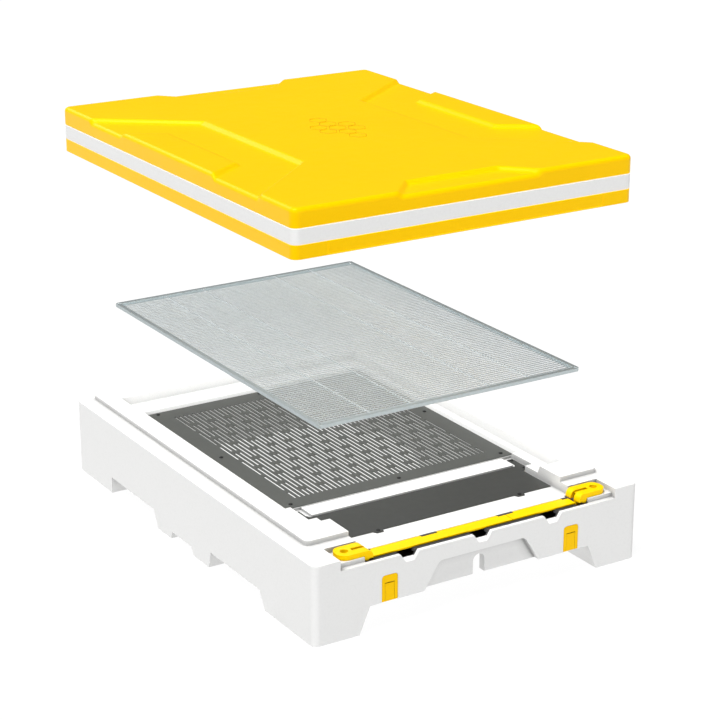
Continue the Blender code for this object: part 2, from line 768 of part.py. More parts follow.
def lever_profile(side):
    """The lever seen from the front: a flat handle that curls down round its pin."""
    centre = (LEVER_AXIS_X, LEVER_AXIS_Z)
    inner = LEVER_AXIS_X - LEVER_CURL_R
    points = [(LEVER_TIP_X, LEVER_BOTTOM_Z), (LEVER_TIP_X, LEVER_TOP_Z)]
    points += arc(centre, LEVER_CURL_R, 90, 180, 8)
    points += [(inner, LEVER_AXIS_Z - 2 * MM)]
    points += arc(centre, LEVER_BOSS_R, 208, 360, 8)
    points += [(LEVER_AXIS_X + LEVER_BOSS_R, LEVER_BOTTOM_Z)]
    return [(side * u, v) for u, v in points]


def make_lever(name, side):
    middle = (LEVER_Y[0] + LEVER_Y[1]) / 2
    body = plate([lever_profile(side)], LEVER_Y[0], LEVER_Y[1], ALONG_Y)
    tip = side * LEVER_TIP_X
    near = side * (LEVER_AXIS_X - 20 * MM)
    corners = [
        (near, LEVER_Y[0]),
        (tip, LEVER_Y[0], LEVER_PLAN_R),
        (tip, LEVER_Y[1], LEVER_PLAN_R),
        (near, LEVER_Y[1]),
    ]
    keep(body, plate([rounded(corners, 5)], 0, FAR))
    hole_x = side * LEVER_HOLE_X
    cut(body, rod((hole_x, middle, 0), (hole_x, middle, FAR), LEVER_HOLE_R, 20))
    slot_y = (middle - BRACKET_HALF_Y - JOINT_PLAY, middle + BRACKET_HALF_Y + JOINT_PLAY)
    inner = (LEVER_AXIS_X - LEVER_CURL_R - 1 * MM, LEVER_AXIS_X - 3.5 * MM)
    cut(body, box(mirror_x(inner, side), slot_y, (0, FAR)))
    under = (LEVER_AXIS_X - BRACKET_HALF_X, LEVER_AXIS_X + BRACKET_HALF_X + 2.5 * MM)
    cut(body, box(mirror_x(under, side), slot_y, (0, LEVER_AXIS_Z + BRACKET_HALF_X + 0.7 * MM)))
    groove_x = (LEVER_AXIS_X - BRACKET_HALF_X, LEVER_HOLE_X - LEVER_HOLE_R - 5 * MM)
    groove_y = (middle - LEVER_GROOVE_HALF_Y, middle + LEVER_GROOVE_HALF_Y)
    cut(body, box(mirror_x(groove_x, side), groove_y, (LEVER_TOP_Z - LEVER_GROOVE_DEPTH, FAR)))
    axis_x = side * LEVER_AXIS_X
    start = (axis_x, LEVER_Y[0] + 1.5 * MM, LEVER_AXIS_Z)
    cut(body, rod(start, (axis_x, 0, LEVER_AXIS_Z), LEVER_PIN_R + JOINT_PLAY, 12))
    return as_part(body, name, YELLOW, (axis_x, middle, LEVER_AXIS_Z))


def make_lever_bracket(name, side):
    """The post that stands between the lever's two lobes and carries its pin."""
    middle = (LEVER_Y[0] + LEVER_Y[1]) / 2
    foot_z = TROUGH_Z + TRAY_FLOOR + 2 * GAP
    half = BRACKET_HALF_X
    points = [(LEVER_AXIS_X - half, foot_z), (LEVER_AXIS_X + half, foot_z)]
    points += arc((LEVER_AXIS_X, LEVER_AXIS_Z), half, 0, 180, 10)
    outline = [(side * u, v) for u, v in points]
    body = plate([outline], middle - BRACKET_HALF_Y, middle + BRACKET_HALF_Y, ALONG_Y)
    axis_x = side * LEVER_AXIS_X
    start = (axis_x, -FAR, LEVER_AXIS_Z)
    cut(body, rod(start, (axis_x, 0, LEVER_AXIS_Z), LEVER_PIN_R + JOINT_PLAY, 12))
    return as_part(body, name, YELLOW)


def make_levers():
    for side, word in ((-1, "left"), (1, "right")):
        make_lever(f"{word}_lever", side)
        make_lever_bracket(f"{word}_lever_bracket", side)
        axis_x = side * LEVER_AXIS_X
        start = (axis_x, LEVER_Y[0] + 2 * MM, LEVER_AXIS_Z)
        end = (axis_x, LEVER_Y[1] - 0.5 * MM, LEVER_AXIS_Z)
        as_part(rod(start, end, LEVER_PIN_R, 12), f"{word}_lever_pin", STEEL)


def make_clip(word, side):
    """A flush insert on the front face with a flap that swings out from its top edge."""
    x = mirror_x(CLIP_X, side)
    corners = [
        (x[0], CLIP_Z[0]),
        (x[1], CLIP_Z[0]),
        (x[1], CLIP_Z[1], CLIP_CORNER_R),
        (x[0], CLIP_Z[1], CLIP_CORNER_R),
    ]
    face = -BASE_HALF_Y
    body = plate([rounded(corners, 3)], face, face + CLIP_THICK, ALONG_Y)
    tab_x = mirror_x((CLIP_X[0] + CLIP_TAB_INSET, CLIP_X[1] - CLIP_TAB_INSET), side)
    window_x = (tab_x[0] - GAP, tab_x[1] + GAP)
    window_top = CLIP_TAB_TOP_Z + CLIP_TAB_SWING
    cut(body, box(window_x, (-FAR, face + CLIP_WINDOW_DEPTH), (0, window_top)))
    pin_x = (x[0] + 2 * MM, x[1] - 2 * MM)
    start = (pin_x[0] - GAP, CLIP_AXIS_Y, CLIP_AXIS_Z)
    end = (pin_x[1] + GAP, CLIP_AXIS_Y, CLIP_AXIS_Z)
    cut(body, rod(start, end, CLIP_BORE_R, 8))
    as_part(body, f"{word}_clip", YELLOW)

    tab_y = (face + CLIP_TAB_DEPTH[0], face + CLIP_TAB_DEPTH[1])
    tab = box(tab_x, tab_y, (CLIP_Z[0], CLIP_TAB_TOP_Z))
    cut(tab, rod(start, end, CLIP_BORE_R, 8))
    as_part(tab, f"{word}_clip_tab", YELLOW, (tab_x[0], CLIP_AXIS_Y, CLIP_AXIS_Z))

    start = (pin_x[0], CLIP_AXIS_Y, CLIP_AXIS_Z)
    end = (pin_x[1], CLIP_AXIS_Y, CLIP_AXIS_Z)
    as_part(rod(start, end, CLIP_PIN_R, 8), f"{word}_clip_pin", STEEL)


# ---------------------------------------------------------------- excluder


def make_rail(name, outline):
    """One side of the folded frame: a channel, open inwards, that holds the wires' ends."""
    body = plate([outline], EXCLUDER_Z[0], EXCLUDER_Z[1])
    inside_x = (-EXCLUDER_HALF_X + RAIL_SKIN, EXCLUDER_HALF_X - RAIL_SKIN)
    inside_y = (EXCLUDER_Y[0] + RAIL_SKIN, EXCLUDER_Y[1] - RAIL_SKIN)
    inside_z = (EXCLUDER_Z[0] + RAIL_SKIN, EXCLUDER_Z[1] - RAIL_SKIN)
    cut(body, box(inside_x, inside_y, inside_z))
    return as_part(body, name, STEEL)


def rail_outline(corner_a, corner_b, inward):
    """A rail's plan between two outer corners, mitred at both ends and chamfered at the corners."""
    a, b = Vector(corner_a), Vector(corner_b)
    along = (b - a).normalized()
    inward = Vector(inward)
    chamfer = RAIL_CHAMFER
    joint = GAP / 2
    return [
        a + along * chamfer,
        b - along * chamfer,
        b + (inward - along) * chamfer / 2 - along * joint,
        b + (inward - along) * RAIL_WIDTH - along * joint,
        a + (inward + along) * RAIL_WIDTH + along * joint,
        a + (inward + along) * chamfer / 2 + along * joint,
    ]


def make_excluder():
    left, right = -EXCLUDER_HALF_X, EXCLUDER_HALF_X
    front, back = EXCLUDER_Y
    make_rail("excluder_front_rail", rail_outline((left, front), (right, front), (0, 1)))
    make_rail("excluder_right_rail", rail_outline((right, front), (right, back), (-1, 0)))
    make_rail("excluder_back_rail", rail_outline((right, back), (left, back), (0, -1)))
    make_rail("excluder_left_rail", rail_outline((left, back), (left, front), (1, 0)))

    grid_half_x = EXCLUDER_HALF_X - 1.5 * MM
    gap_half_x = EXCLUDER_HALF_X - RAIL_WIDTH + 2.5 * MM
    gaps = int((back - front - 2 * RAIL_WIDTH) / WIRE_PITCH)
    first = (front + back - gaps * WIRE_PITCH) / 2
    grid_y = (first - WIRE_WIDTH / 2, first + gaps * WIRE_PITCH + WIRE_WIDTH / 2)
    wires = box((-grid_half_x, grid_half_x), grid_y, WIRE_Z)
    gap_y = (first + WIRE_WIDTH / 2, first + WIRE_PITCH - WIRE_WIDTH / 2)
    gap = box((-gap_half_x, gap_half_x), gap_y, (WIRE_Z[0] - 1 * MM, WIRE_Z[1] + 1 * MM))
    repeat = gap.modifiers.new("repeat", "ARRAY")
    repeat.count = gaps
    repeat.use_relative_offset = False
    repeat.use_constant_offset = True
    repeat.constant_offset_displace = (0, WIRE_PITCH, 0)
    cut(wires, gap)
    as_part(wires, "excluder_wires", STEEL)

    for index, x in enumerate(CROSS_ROD_X):
        rod_y = (front + RAIL_WIDTH + GAP, back - RAIL_WIDTH - GAP)
        rod_z = (WIRE_Z[1] + GAP, WIRE_Z[1] + GAP + CROSS_ROD_HEIGHT)
        cross = box((x - CROSS_ROD_HALF, x + CROSS_ROD_HALF), rod_y, rod_z)
        as_part(cross, f"excluder_cross_rod_{index + 1}", STEEL)


# ---------------------------------------------------------------- roof


def roof_outline(inset):
    x = (-ROOF_HALF_X + inset, ROOF_HALF_X - inset)
    y = (ROOF_Y[0] + inset, ROOF_Y[1] - inset)
    return rounded(rectangle(x, y, ROOF_CORNER_R - inset), 4)


def low_areas():
    """The low areas of the cap, each anticlockwise and drawn at their floor."""
    far = ROOF_HALF_X + 30 * MM
    side = [
        (-far, -246 * MM),
        (-133 * MM, -111 * MM),
        (-133 * MM, 155 * MM),
        (-far, 271 * MM),
        (-far, 179 * MM),
        (-195 * MM, 120 * MM),
        (-195 * MM, -74 * MM),
        (-far, -132 * MM),
    ]
    end = [
        (-128 * MM, ROOF_Y[0] - 30 * MM),
        (128 * MM, ROOF_Y[0] - 30 * MM),
        (67 * MM, -268 * MM),
        (-67 * MM, -268 * MM),
    ]
    shift = ROOF_Y[0] + ROOF_Y[1]
    far_end = [(u, shift - v) for u, v in reversed(end)]
    return [side, mirrored(side), end, far_end]


def make_cap():
    """The outer shell: rounded top edge, low areas with sloping sides, hollow underneath."""
    levels = [(roof_outline(0), BAND_TOP_Z + GAP)]
    steps = 4
    for step in range(steps + 1):
        angle = math.pi / 2 * step / steps
        inset = CAP_EDGE_R * (1 - math.cos(angle))
        levels.append((roof_outline(inset), CAP_TOP_Z - CAP_EDGE_R * (1 - math.sin(angle))))
    body = loft(levels)
    for area in low_areas():
        cut(body, drafted(area, CAP_LOW_Z, CAP_TOP_Z, RELIEF_SLOPE))
    inside = rounded(
        rectangle(
            (-ROOF_HALF_X + CAP_WALL, ROOF_HALF_X - CAP_WALL),
            (ROOF_Y[0] + CAP_WALL, ROOF_Y[1] - CAP_WALL),
            ROOF_CORNER_R - CAP_WALL,
        )
    )
    cut(body, plate([inside], BAND_TOP_Z - 10 * MM, CAP_LOW_Z - CAP_WALL))
    return as_part(body, "roof_cap", YELLOW)


def make_core():
    """The insulation: a full-width band, a plug inside the cap, and a lower ring inside the skirt."""
    full = roof_outline(0)
    inner = roof_outline(CAP_WALL + GAP)
    body = loft([
        (inner, SKIRT_Z[0] + CAP_WALL + GAP),
        (inner, SKIRT_Z[1] + GAP),
        (full, SKIRT_Z[1] + GAP),
        (full, BAND_TOP_Z),
        (inner, BAND_TOP_Z),
        (inner, CAP_LOW_Z - CAP_WALL - GAP),
    ])
    cavity = rounded(rectangle((-CAVITY_HALF_X, CAVITY_HALF_X), CAVITY_Y, CAVITY_CORNER_R), 2)
    cut(body, plate([cavity], 0, CAVITY_TOP_Z))
    return as_part(body, "roof_core", FOAM)


def make_skirt():
    """The lower rim: an outer wall with a flange under the core, open where the front panel sits."""
    body = plate([roof_outline(0)], SKIRT_Z[0], SKIRT_Z[1])
    wall = rounded(
        rectangle(
            (-ROOF_HALF_X + CAP_WALL, ROOF_HALF_X - CAP_WALL),
            (ROOF_Y[0] + CAP_WALL, ROOF_Y[1] - CAP_WALL),
            ROOF_CORNER_R - CAP_WALL,
        )
    )
    cut(body, plate([wall], SKIRT_Z[0] + CAP_WALL, SKIRT_Z[1] + 5 * MM))
    cavity = rounded(rectangle((-CAVITY_HALF_X, CAVITY_HALF_X), CAVITY_Y, CAVITY_CORNER_R), 2)
    cut(body, plate([cavity], 0, SKIRT_Z[1]))
    half = PANEL_HALF_X + GAP
    panel_back = ROOF_Y[0] + CAP_WALL + 0.1 * MM
    cut(body, box((-half, half), (-FAR, panel_back), (SKIRT_Z[0] + PANEL_SILL, FAR)))
    return as_part(body, "roof_skirt", YELLOW)


def make_front_panel():
    x = (-PANEL_HALF_X, PANEL_HALF_X)
    y = (ROOF_Y[0], ROOF_Y[0] + CAP_WALL - 0.2 * MM)
    z = (SKIRT_Z[0] + PANEL_SILL + GAP, SKIRT_Z[1])
    return as_part(box(x, y, z), "roof_front_panel", YELLOW)


make_base()
make_grille()
make_front_plate()
make_screws()
make_frame()
make_gates()
make_levers()
make_clip("left", -1)
make_clip("right", 1)
make_excluder()
make_cap()
make_core()
make_skirt()
make_front_panel()
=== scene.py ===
"""The looks of the foam beehive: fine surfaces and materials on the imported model, light and camera."""

import json
import math

import bmesh
import bpy
import numpy as np
from mathutils import Matrix, Vector

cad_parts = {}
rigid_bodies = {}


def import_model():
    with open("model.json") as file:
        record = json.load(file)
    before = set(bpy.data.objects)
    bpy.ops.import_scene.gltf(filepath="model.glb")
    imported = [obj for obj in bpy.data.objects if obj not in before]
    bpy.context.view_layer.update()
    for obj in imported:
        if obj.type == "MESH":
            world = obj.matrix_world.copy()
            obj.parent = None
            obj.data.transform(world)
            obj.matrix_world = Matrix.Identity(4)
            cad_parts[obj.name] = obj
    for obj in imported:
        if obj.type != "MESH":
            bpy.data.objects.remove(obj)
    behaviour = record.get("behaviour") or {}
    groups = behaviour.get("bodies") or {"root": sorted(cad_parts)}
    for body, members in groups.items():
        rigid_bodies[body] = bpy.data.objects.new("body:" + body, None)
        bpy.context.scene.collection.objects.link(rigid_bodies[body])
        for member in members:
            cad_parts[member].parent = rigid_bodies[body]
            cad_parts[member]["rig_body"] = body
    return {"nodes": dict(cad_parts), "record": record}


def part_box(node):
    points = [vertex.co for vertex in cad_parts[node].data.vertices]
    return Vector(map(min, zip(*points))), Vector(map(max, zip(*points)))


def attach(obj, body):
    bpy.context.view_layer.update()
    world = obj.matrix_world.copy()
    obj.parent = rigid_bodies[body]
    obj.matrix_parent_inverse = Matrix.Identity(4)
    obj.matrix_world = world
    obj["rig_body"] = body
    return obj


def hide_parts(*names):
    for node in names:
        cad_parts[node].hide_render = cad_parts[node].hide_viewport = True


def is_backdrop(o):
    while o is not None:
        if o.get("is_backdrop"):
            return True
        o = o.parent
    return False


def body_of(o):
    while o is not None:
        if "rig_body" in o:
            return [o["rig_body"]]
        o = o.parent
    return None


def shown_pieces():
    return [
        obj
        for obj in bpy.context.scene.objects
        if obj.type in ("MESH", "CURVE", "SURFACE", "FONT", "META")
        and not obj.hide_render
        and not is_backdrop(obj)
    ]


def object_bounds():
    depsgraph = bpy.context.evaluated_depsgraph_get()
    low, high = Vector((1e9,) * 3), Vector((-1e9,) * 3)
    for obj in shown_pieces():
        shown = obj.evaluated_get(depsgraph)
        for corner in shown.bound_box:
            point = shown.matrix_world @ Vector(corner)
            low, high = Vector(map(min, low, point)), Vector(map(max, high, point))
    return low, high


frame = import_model()
CAD_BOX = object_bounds()

MM = 0.001
STUDIO_WHITE = (1.0, 1.0, 1.0, 1.0)
BODIES = frame["record"]["behaviour"]["bodies"]
BODY_OF = {node: body for body, nodes in BODIES.items() for node in nodes}


# ---------------------------------------------------------------- materials


class Surface:
    """A Principled material whose nodes are added one by one."""

    def __init__(self, name):
        self.material = bpy.data.materials.new(name)
        self.material.use_nodes = True
        self.tree = self.material.node_tree
        self.shader = self.tree.nodes["Principled BSDF"]
        self.place = self.node("ShaderNodeTexCoord").outputs["Object"]

    def node(self, kind, **settings):
        """A new node with its settings."""
        made = self.tree.nodes.new(kind)
        for name, value in settings.items():
            setattr(made, name, value)
        return made

    def link(self, output, socket):
        self.tree.links.new(output, socket)

    def fixed(self, **values):
        """Values that are the same all over the surface, on the shader's own sockets."""
        for name, value in values.items():
            self.shader.inputs[name.replace("_", " ")].default_value = value

    def noise(self, size, detail=3.0, stretch=(1, 1, 1)):
        """Noise whose features are about size metres across."""
        place = self.place
        if stretch != (1, 1, 1):
            mapping = self.node("ShaderNodeMapping")
            mapping.inputs["Scale"].default_value = stretch
            self.link(place, mapping.inputs["Vector"])
            place = mapping.outputs["Vector"]
        made = self.node("ShaderNodeTexNoise")
        made.inputs["Scale"].default_value = 1 / size
        made.inputs["Detail"].default_value = detail
        self.link(place, made.inputs["Vector"])
        return made.outputs["Fac"]

    def cells(self, size, feature="F1"):
        """The distance to the middle of the nearest cell, for cells size metres across."""
        made = self.node("ShaderNodeTexVoronoi", feature=feature)
        made.inputs["Scale"].default_value = 1 / size
        self.link(self.place, made.inputs["Vector"])
        return made.outputs["Distance"]

    def ramp(self, value, stops):
        """A value turned into colours: stops are (position, (r, g, b))."""
        made = self.node("ShaderNodeValToRGB")
        elements = made.color_ramp.elements
        while len(elements) < len(stops):
            elements.new(0.5)
        for element, (position, colour) in zip(elements, stops):
            element.position = position
            element.color = (*colour, 1.0)
        self.link(value, made.inputs["Fac"])
        return made.outputs["Color"]

    def range(self, value, lowest, highest):
        """A value between 0 and 1 moved to another range."""
        made = self.node("ShaderNodeMapRange")
        made.inputs["To Min"].default_value = lowest
        made.inputs["To Max"].default_value = highest
        self.link(value, made.inputs["Value"])
        return made.outputs["Result"]

    def mix(self, share, first, second):
        """Two colours mixed by a value between 0 and 1."""
        made = self.node("ShaderNodeMix", data_type="RGBA")
        self.link(share, made.inputs["Factor"])
        self.link(first, made.inputs[6])
        self.link(second, made.inputs[7])
        return made.outputs[2]

    def painted_hollow_shade(self, colour, reach, shade, own_only):
        """The colour with painted shade: darker in steps, grooves and corners, as an occlusion node finds
        them.

        With own_only, other pieces near the surface do not darken it.
        """
        # Painted shade: the occlusion node darkens the colour wherever other surface lies near.
        hollow = self.node("ShaderNodeAmbientOcclusion", samples=6, only_local=own_only)
        hollow.inputs["Distance"].default_value = reach
        deepest = 1 - shade
        middle = 1 - 0.75 * shade
        stops = [(0.1, (deepest,) * 3), (0.5, (middle,) * 3), (0.92, (1,) * 3)]
        factor = self.ramp(hollow.outputs["AO"], stops)
        made = self.node("ShaderNodeMix", data_type="RGBA", blend_type="MULTIPLY")
        made.inputs["Factor"].default_value = 1.0
        self.link(colour, made.inputs[6])
        self.link(factor, made.inputs[7])
        return made.outputs[2]

    def bump(self, value, height, before=None):
        """Relief of the given height in metres, laid over any relief before it."""
        made = self.node("ShaderNodeBump")
        made.inputs["Distance"].default_value = height
        self.link(value, made.inputs["Height"])
        if before is not None:
            self.link(before, made.inputs["Normal"])
        self.link(made.outputs["Normal"], self.shader.inputs["Normal"])
        return made.outputs["Normal"]


BEAD_SIZE = 3.4 * MM
# Reach and depth of the painted shade in the foam's steps and between plastic pieces.
FOAM_STEP_REACH = 16 * MM
FOAM_STEP_SHADE = 0.62
PLASTIC_GAP_REACH = 5 * MM


def tinted(colour, factor):
    """A colour made lighter or darker by a factor."""
    return tuple(min(1.0, channel * factor) for channel in colour)


def foam(name, colour):
    """Moulded bead foam: fused beads a few millimetres across under a smooth skin, with painted shade in its
    own steps and grooves.
    """
    made = Surface(name)
    beads = made.cells(BEAD_SIZE)
    drift = made.noise(90 * MM, 2.0)
    body = made.ramp(drift, [(0.3, tinted(colour, 0.985)), (0.7, colour)])
    joints = made.ramp(beads, [(0.45, colour), (0.95, tinted(colour, 0.955))])
    amount = made.range(made.noise(25 * MM), 0.25, 0.75)
    skin = made.mix(amount, body, joints)
    # Painted shade in the foam's own steps and grooves.
    skin = made.painted_hollow_shade(skin, FOAM_STEP_REACH, FOAM_STEP_SHADE, own_only=True)
    made.link(skin, made.shader.inputs["Base Color"])
    made.link(made.range(made.noise(6 * MM), 0.52, 0.66), made.shader.inputs["Roughness"])
    first = made.bump(made.cells(BEAD_SIZE, "SMOOTH_F1"), 0.06 * MM)
    made.bump(made.noise(0.8 * MM, 2.0), 0.02 * MM, first)
    made.fixed(Specular_IOR_Level=0.25)
    return made.material


def plastic(name, colour, roughness, grain, shine, gap_shade=0.0, gloss_tint=(1, 1, 1)):
    """Moulded plastic with a fine spark-eroded grain and slow variations of tone and gloss; with gap_shade,
    painted shade darkens it in gaps and next to other pieces.
    """
    made = Surface(name)
    tone = made.noise(120 * MM, 2.0)
    speck = made.noise(1.6 * MM, 2.0)
    slow = made.ramp(tone, [(0.3, tinted(colour, 0.975)), (0.7, tinted(colour, 1.015))])
    fine = made.ramp(speck, [(0.35, tinted(colour, 0.965)), (0.65, tinted(colour, 1.02))])
    share = made.range(tone, 0.3, 0.5)
    skin = made.mix(share, slow, fine)
    # Painted shade in gaps and where other pieces come near.
    if gap_shade:
        skin = made.painted_hollow_shade(skin, PLASTIC_GAP_REACH, gap_shade, own_only=False)
    made.link(skin, made.shader.inputs["Base Color"])
    gloss = made.range(made.noise(14 * MM), roughness - 0.05, roughness + 0.06)
    made.link(gloss, made.shader.inputs["Roughness"])
    made.bump(made.noise(0.7 * MM, 3.0), grain)
    made.fixed(Specular_IOR_Level=shine, Specular_Tint=(*gloss_tint, 1.0))
    return made.material


def metal(name, colour, roughness, stretch=(1, 1, 1)):
    """Zinc-coated steel: a faint spangle, and drawing marks along the given stretch."""
    made = Surface(name)
    spangle = made.cells(4.5 * MM)
    marks = made.noise(1.2 * MM, 3.0, stretch)
    plain = made.ramp(spangle, [(0.1, tinted(colour, 0.93)), (0.8, tinted(colour, 1.06))])
    drawn = made.ramp(marks, [(0.3, tinted(colour, 0.90)), (0.7, tinted(colour, 1.08))])
    share = made.range(made.noise(30 * MM), 0.3, 0.6)
    made.link(made.mix(share, plain, drawn), made.shader.inputs["Base Color"])
    made.link(made.range(marks, roughness - 0.06, roughness + 0.08), made.shader.inputs["Roughness"])
    made.bump(marks, 0.01 * MM)
    made.fixed(Metallic=0.75)
    return made.material


WHITE = (0.775, 0.775, 0.768)
HIVE_YELLOW = (0.94, 0.555, 0.0)
GATE_YELLOW = (1.0, 0.62, 0.0)
YELLOW_GLOSS = (1.0, 0.80, 0.10)

# FOAM, BAND, YELLOW, LEMON and BLACK carry painted shade in their hollows; gap_shade sets how dark it is in
# the plastics.
FOAM = foam("bead_foam", WHITE)
BAND = foam("band_foam", tinted(WHITE, 0.99))
YELLOW = plastic(
    "roof_plastic", HIVE_YELLOW, roughness=0.36, grain=0.012 * MM, shine=0.25,
    gap_shade=0.5, gloss_tint=YELLOW_GLOSS,
)
LEMON = plastic(
    "gate_plastic", GATE_YELLOW, roughness=0.36, grain=0.008 * MM, shine=0.25,
    gap_shade=0.75, gloss_tint=YELLOW_GLOSS,
)
GREY = plastic("grille_plastic", (0.085, 0.088, 0.082), roughness=0.48, grain=0.01 * MM, shine=0.25)
DARK = plastic("plate_plastic", (0.052, 0.053, 0.05), roughness=0.45, grain=0.01 * MM, shine=0.25)
BLACK = plastic(
    "frame_plastic", (0.043, 0.045, 0.048), roughness=0.42, grain=0.01 * MM, shine=0.35, gap_shade=0.5,
)
ZINC = metal("zinc_coat", (0.46, 0.51, 0.52), roughness=0.42)
WIRE = metal("wire_zinc", (0.60, 0.64, 0.65), roughness=0.36, stretch=(0.05, 1, 1))
CROSS_WIRE = metal("cross_wire_zinc", (0.68, 0.72, 0.73), roughness=0.40, stretch=(1, 0.05, 1))
SCREW = metal("screw_black", (0.03, 0.03, 0.03), roughness=0.4)
# Darker yellow for the emblem's lines: painted shade standing in for engraved grooves.
EMBLEM_GROOVE_SHADE = plastic("emblem_painted_groove_shade", (0.60, 0.34, 0.0), roughness=0.5, grain=0.008 * MM, shine=0.15)


# ---------------------------------------------------------------- shape tools


WELD_DISTANCE = 0.002 * MM
FLAT_ANGLE = math.radians(0.4)
EDGE_ANGLE = math.radians(28.0)
SHARP_ANGLE = math.radians(50)
LARGE_FACE_WEIGHT = 80


def object_from(name, data):
    """A new object in the scene that shows the given mesh, curve, lamp or camera."""
    made = bpy.data.objects.new(name, data)
    bpy.context.scene.collection.objects.link(made)
    return made


def stand_for(piece, surface, slot, *nodes):
    """Give a piece its material, and let it stand for the CAD nodes and move with their body."""
    piece.data.materials.clear()
    piece.data.materials.append(surface)
    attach(piece, BODY_OF[nodes[0]])
    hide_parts(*nodes)
    return piece


def flat_mesh(node, name):
    """A CAD node's mesh with its points welded and each flat face in one piece."""
    shape = bmesh.new()
    shape.from_mesh(frame["nodes"][node].data)
    bmesh.ops.remove_doubles(shape, verts=shape.verts, dist=WELD_DISTANCE)
    bmesh.ops.dissolve_limit(
        shape, angle_limit=FLAT_ANGLE, use_dissolve_boundaries=False,
        verts=shape.verts, edges=shape.edges, delimit=set(),
    )
    mesh = bpy.data.meshes.new(name)
    shape.to_mesh(mesh)
    shape.free()
    return mesh


def flatten(piece):
    """Keep the shading of large faces flat and let the small faces of the edges carry the turn."""
    normals = piece.modifiers.new("normals", "WEIGHTED_NORMAL")
    normals.weight = LARGE_FACE_WEIGHT
    normals.keep_sharp = True


def refined(node, name, width, segments=2):
    """A copy of a CAD node whose edges are rounded."""
    mesh = flat_mesh(node, name)
    mesh.shade_smooth()
    made = object_from(name, mesh)
    edges = made.modifiers.new("edges", "BEVEL")
    edges.limit_method = "ANGLE"
    edges.angle_limit = EDGE_ANGLE
    edges.width = width
    edges.segments = segments
    edges.use_clamp_overlap = True
    flatten(made)
    return made


# ---------------------------------------------------------------- roof cap

CAP_LOW, CAP_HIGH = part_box("roof_cap")
CAP_CORNER = 10 * MM
CAP_EDGE = 6 * MM
CAP_WALL = 3 * MM
CAP_SEAM = 0.5 * MM
RELIEF = 5 * MM
SLOPE = 7.5 * MM
PAST_EDGE = 30 * MM
END_HALF_WIDE = 0.128
END_HALF_NARROW = 0.067
END_DEPTH = 37 * MM


def low_areas():
    """The low areas of the roof in plan, each as the outline of its floor, drawn past the roof's edge."""
    beyond = CAP_HIGH.x + PAST_EDGE
    side = [(-beyond, -0.246), (-0.133, -0.111), (-0.133, 0.155), (-beyond, 0.271)]
    side += [(-beyond, 0.179), (-0.195, 0.120), (-0.195, -0.074), (-beyond, -0.132)]
    outside = CAP_LOW.y - PAST_EDGE
    inside = CAP_LOW.y + END_DEPTH
    end = [(-END_HALF_WIDE, outside), (END_HALF_WIDE, outside)]
    end += [(END_HALF_NARROW, inside), (-END_HALF_NARROW, inside)]
    turn = CAP_LOW.y + CAP_HIGH.y
    other_side = [(-x, y) for x, y in side]
    other_end = [(x, turn - y) for x, y in end]
    return [side, other_side, end, other_end]


def distance_outside(points, outline):
    """How far each point lies outside an outline, and 0 inside it."""
    inside = np.zeros(len(points), bool)
    nearest = np.full(len(points), 1.0)
    for start, end in zip(outline, outline[1:] + outline[:1]):
        a, b = np.array(start), np.array(end)
        along = b - a
        share = np.clip(((points - a) @ along) / (along @ along), 0, 1)
        nearest = np.minimum(nearest, np.linalg.norm(points - a - share[:, None] * along, axis=1))
        crosses = (a[1] > points[:, 1]) != (b[1] > points[:, 1])
        rise = np.where(b[1] == a[1], 1.0, b[1] - a[1])
        meets = a[0] + (points[:, 1] - a[1]) * along[0] / rise
        inside ^= crosses & (points[:, 0] < meets)
    return np.where(inside, 0.0, nearest)


def roof_height(points):
    """The height of the roof's top over each point, before its outer edge is rounded."""
    share = np.ones(len(points))
    for outline in low_areas():
        t = np.clip(distance_outside(points, outline) / SLOPE, 0, 1)
        share = np.minimum(share, t * t * (3 - 2 * t))
    return CAP_HIGH.z - RELIEF * (1 - share)


def ring(inset, spacing=2.6 * MM, corner_steps=8):
    """One loop of the roof's plan, with the same number of points at every inset."""
    centre = (CAP_LOW + CAP_HIGH) / 2
    half = (CAP_HIGH - CAP_LOW) / 2
    radius = max(CAP_CORNER - inset, 0.0)
    inner_x, inner_y = (max(h - max(inset, CAP_CORNER), 0.0) for h in (half.x, half.y))
    counts = (round(2 * half.y / spacing), round(2 * half.x / spacing))
    corners = [(inner_x, -inner_y), (inner_x, inner_y), (-inner_x, inner_y), (-inner_x, -inner_y)]
    points = []
    for index, (x, y) in enumerate(corners):
        for step in range(corner_steps + 1):
            angle = math.pi / 2 * (index - 1 + step / corner_steps)
            points.append((x + radius * math.cos(angle), y + radius * math.sin(angle)))
        last = points[-1]
        ahead = corners[(index + 1) % 4]
        first_angle = math.pi / 2 * index
        target = (ahead[0] + radius * math.cos(first_angle), ahead[1] + radius * math.sin(first_angle))
        count = counts[index % 2]
        for step in range(1, count):
            share = step / count
            points.append((last[0] + (target[0] - last[0]) * share, last[1] + (target[1] - last[1]) * share))
    return np.array(points) + np.array([centre.x, centre.y])


def cap_rings():
    """The loops of the cap as (plan points, heights), from inside its wall to the middle of the top."""
    bottom = CAP_LOW.z
    ceiling = CAP_HIGH.z - RELIEF - CAP_WALL
    loops = [(CAP_WALL, ceiling), (CAP_WALL, bottom), (CAP_SEAM, bottom)]
    loops += [(0.0, bottom + CAP_SEAM), (0.0, bottom + 2 * CAP_SEAM)]
    made = []
    for inset, height in loops:
        points = ring(inset)
        made.append((points, np.full(len(points), height)))

    def follow_relief(inset, offset):
        points = ring(inset)
        made.append((points, roof_height(points) + offset))

    follow_relief(0.0, -CAP_EDGE - 2 * CAP_SEAM)
    follow_relief(0.0, -CAP_EDGE)
    steps = 6
    for step in range(1, steps + 1):
        angle = math.pi / 2 * step / steps
        follow_relief(CAP_EDGE * (1 - math.cos(angle)), CAP_EDGE * (math.sin(angle) - 1))
    inset = CAP_EDGE
    half_x = (CAP_HIGH.x - CAP_LOW.x) / 2
    while inset < half_x:
        inset = min(inset + 2.5 * MM, half_x)
        follow_relief(inset, 0.0)
    return made


